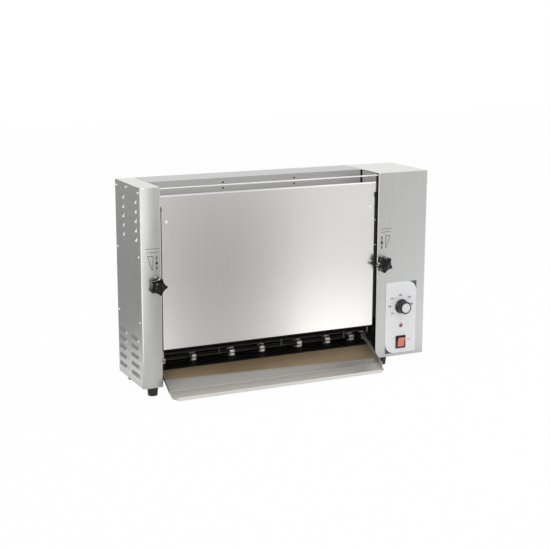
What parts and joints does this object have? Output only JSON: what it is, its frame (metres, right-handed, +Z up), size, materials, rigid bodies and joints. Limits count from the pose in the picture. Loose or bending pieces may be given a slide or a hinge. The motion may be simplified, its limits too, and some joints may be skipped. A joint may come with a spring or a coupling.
{
  "type": "bun toaster",
  "caption": "Upright counter toaster for bun halves: feed slot on top, heated platen and wire belt inside, thickness knobs, control box at the right, sloping outfeed tray.",
  "frame": {"origin": "centre of the bounding box's bottom, on the plane that the rubber feet stand on", "axes": "+X to the right as seen from the front, the front panel and tray face -Y, +Z up"},
  "size_m": [0.7164, 0.2222, 0.46],
  "materials": {
    "stainless_casing": "brushed stainless steel",
    "black_wall": "black heat resistant enamel",
    "stainless_bright": "bright annealed stainless steel",
    "bright_metal": "zinc plated or polished steel",
    "rubber_black": "moulded rubber",
    "cast_motor": "die cast housing",
    "black_wire": "blackened stainless wire",
    "shaft_steel": "turned steel",
    "nylon": "moulded nylon",
    "plate_white": "printed control plate",
    "black_plastic": "moulded phenolic",
    "lamp_red": "clear red lens",
    "ceramic": "ceramic terminal block",
    "stainless_panel": "vertically brushed stainless steel",
    "cast_plate": "cast aluminium",
    "sheathed_element": "oxidised metal sheath",
    "release_cloth": "coated glass cloth",
    "dial_silver": "spun aluminium cap",
    "rocker_red": "gloss red plastic"
  },
  "bodies": {
    "body": {"left_casing": "stainless_casing", "right_casing": "stainless_casing", "left_inner_wall": "black_wall", "right_inner_wall": "black_wall", "base_pan": "stainless_casing", "rear_cover": "stainless_casing", "top_cover": "stainless_bright", "guide_rod": "bright_metal", "slot_cheeks": "stainless_bright", "casing_screws": "bright_metal", "cover_screws": "bright_metal", "lane_screws": "bright_metal", "wall_screws": "bright_metal", "rubber_feet": "rubber_black", "panel_ledges": "stainless_bright", "heat_shield": "stainless_bright", "cross_rail": "black_wall", "shaft_bearings": "cast_motor", "wire_belt": "black_wire", "belt_backing_plate": "black_wall", "drive_chain": "shaft_steel", "motor_bracket": "bright_metal", "gear_motor": "cast_motor", "spindle_bushes": "nylon", "spindle_supports": "bright_metal", "pointer_guides": "nylon", "control_plate": "plate_white", "heat_regulator": "black_plastic", "lamp_bezel": "bright_metal", "lamp_lens": "lamp_red", "rocker_housing": "black_plastic", "tray_supports": "stainless_bright", "chute": "black_wall", "terminal_block": "ceramic", "inlet_bush": "nylon"},
    "front_panel": {"front_panel": "stainless_panel", "panel_rivets": "bright_metal"},
    "platen": {"platen": "cast_plate", "heating_elements": "sheathed_element", "element_clamps": "bright_metal", "platen_carriers": "stainless_bright", "release_sheet": "release_cloth", "sheet_rod": "bright_metal"},
    "left_adjuster": {"left_star_knob": "black_plastic", "left_spindle": "shaft_steel"},
    "right_adjuster": {"right_star_knob": "black_plastic", "right_spindle": "shaft_steel"},
    "left_pointer": {"left_pointer": "black_plastic"},
    "right_pointer": {"right_pointer": "black_plastic"},
    "dial": {"dial_knob": "black_plastic", "dial_cap": "dial_silver"},
    "rocker": {"rocker": "rocker_red"},
    "belt_drive": {"drive_shaft": "shaft_steel", "drive_sprockets": "bright_metal", "driven_sprocket": "shaft_steel"},
    "belt_idler": {"idler_shaft": "shaft_steel", "idler_sprockets": "bright_metal"},
    "motor_output": {"motor_sprocket": "shaft_steel"},
    "outfeed_tray": {"outfeed_tray": "stainless_bright"}
  },
  "joints": [
    {"name": "panel_lift", "type": "slide", "parent": "body", "child": "front_panel", "axis": [0, 0, 1], "range_m": [0, 0.36]},
    {"name": "tray_pull", "type": "slide", "parent": "body", "child": "outfeed_tray", "axis": [0, -1, 0], "range_m": [0, 0.11]},
    {"name": "left_knob_turn", "type": "hinge", "parent": "body", "child": "left_adjuster", "pos_m": [-0.321, -0.0661, 0.248], "axis": [0, 1, 0], "range_deg": [-360, 360]},
    {"name": "right_knob_turn", "type": "hinge", "parent": "body", "child": "right_adjuster", "pos_m": [0.2364, -0.0661, 0.248], "axis": [0, 1, 0], "range_deg": [-360, 360]},
    {"name": "platen_shift", "type": "slide", "parent": "body", "child": "platen", "axis": [0, 1, 0], "range_m": [-0.004, 0.004]},
    {"name": "left_pointer_slide", "type": "slide", "parent": "body", "child": "left_pointer", "axis": [0, 0, 1], "range_m": [-0.011, 0.011]},
    {"name": "right_pointer_slide", "type": "slide", "parent": "body", "child": "right_pointer", "axis": [0, 0, 1], "range_m": [-0.011, 0.011]},
    {"name": "dial_turn", "type": "hinge", "parent": "body", "child": "dial", "pos_m": [0.292, -0.0661, 0.14], "axis": [0, 1, 0], "range_deg": [0, 270]},
    {"name": "rocker_tilt", "type": "hinge", "parent": "body", "child": "rocker", "pos_m": [0.2913, -0.0561, 0.0532], "axis": [1, 0, 0], "range_deg": [-20, 0]},
    {"name": "belt_drive_turn", "type": "hinge", "parent": "body", "child": "belt_drive", "pos_m": [-0.0423, 0.0359, 0.053], "axis": [1, 0, 0], "continuous": true},
    {"name": "belt_idler_turn", "type": "hinge", "parent": "body", "child": "belt_idler", "pos_m": [-0.0423, 0.0359, 0.392], "axis": [1, 0, 0], "continuous": true},
    {"name": "motor_turn", "type": "hinge", "parent": "body", "child": "motor_output", "pos_m": [0.2359, 0.0359, 0.145], "axis": [1, 0, 0], "continuous": true}
  ],
  "couplings": [
    {"joint": "left_knob_turn", "follows": "platen_shift", "rad_per_m": 1569.2},
    {"joint": "right_knob_turn", "follows": "platen_shift", "rad_per_m": 1569.2},
    {"joint": "left_pointer_slide", "follows": "platen_shift", "ratio": -2.7473},
    {"joint": "right_pointer_slide", "follows": "platen_shift", "ratio": -2.7473},
    {"joint": "belt_idler_turn", "follows": "belt_drive_turn", "ratio": 1},
    {"joint": "motor_turn", "follows": "belt_drive_turn", "ratio": 1}
  ]
}
